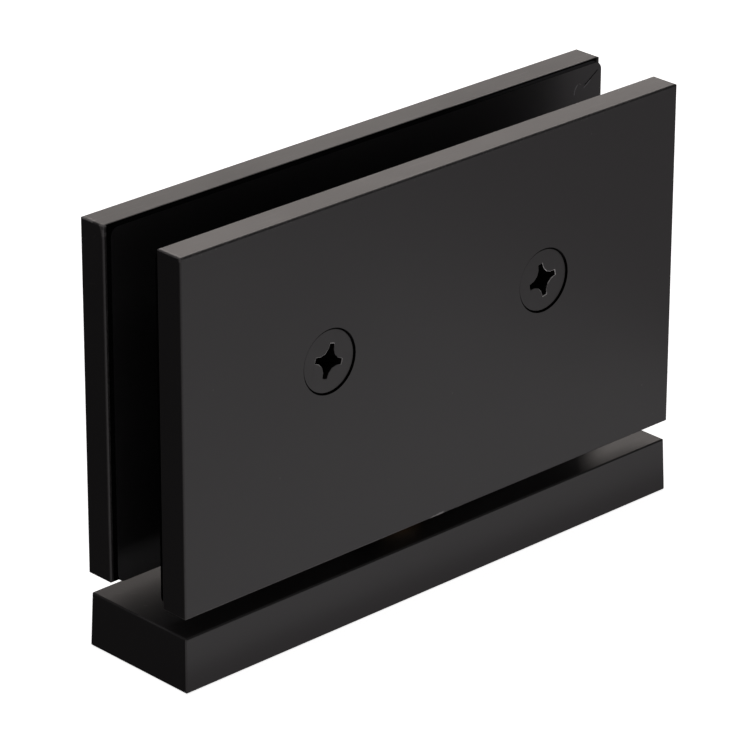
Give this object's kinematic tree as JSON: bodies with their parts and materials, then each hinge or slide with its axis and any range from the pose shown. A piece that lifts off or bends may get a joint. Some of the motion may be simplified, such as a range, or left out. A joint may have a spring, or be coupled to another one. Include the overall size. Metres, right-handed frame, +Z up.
{
  "type": "pivot shower door hinge",
  "caption": "Self-centring pivot hinge for a frameless glass shower door: a leaf of clamp plates with gaskets turns on a pin keyed into a screwed base bar.",
  "frame": {"origin": "underside of the base bar, on the pivot axis", "axes": "+X along the hinge to the right as seen from the front, +Z up along the pivot axis, -Y out of the front plate that carries the screw heads"},
  "size_m": [0.127, 0.027, 0.086],
  "materials": {
    "black_coat": "satin",
    "black_screw": "satin",
    "steel": "satin",
    "bronze": "satin",
    "white_plastic": "matte",
    "gasket_rubber": "matte"
  },
  "bodies": {
    "base": {"base_plate": "black_coat", "pivot_pin": "steel", "pin_screw": "steel", "thrust_washer": "bronze", "retaining_washer": "steel", "retaining_screw": "steel"},
    "leaf": {"front_plate": "black_coat", "back_plate": "black_coat", "front_gasket": "gasket_rubber", "back_gasket": "gasket_rubber", "hinge_block": "black_coat", "lower_bush": "white_plastic", "upper_bush": "white_plastic", "clamp_screw_left": "black_screw", "clamp_screw_right": "black_screw", "screw_sleeve_left": "white_plastic", "screw_sleeve_right": "white_plastic", "block_screw_lower_left": "steel", "block_screw_lower_right": "steel", "block_screw_upper_left": "steel", "block_screw_upper_right": "steel", "spring_left": "steel", "spring_right": "steel", "spring_plug_left": "steel", "spring_plug_right": "steel"},
    "left_plunger": {"plunger_left": "steel"},
    "right_plunger": {"plunger_right": "steel"}
  },
  "joints": [
    {"name": "leaf_pivot", "type": "hinge", "parent": "base", "child": "leaf", "pos_m": [0, 0, 0], "axis": [0, 0, 1], "range_deg": [-90, 90]},
    {"name": "left_plunger_slide", "type": "slide", "parent": "leaf", "child": "left_plunger", "axis": [1, 0, 0], "range_m": [0, 0.00037], "stiffness_N_per_m": 5000, "springref_m": 0.002, "deforming": ["spring_left"]},
    {"name": "right_plunger_slide", "type": "slide", "parent": "leaf", "child": "right_plunger", "axis": [-1, 0, 0], "range_m": [0, 0.00037], "stiffness_N_per_m": 5000, "springref_m": 0.002, "deforming": ["spring_right"]}
  ]
}
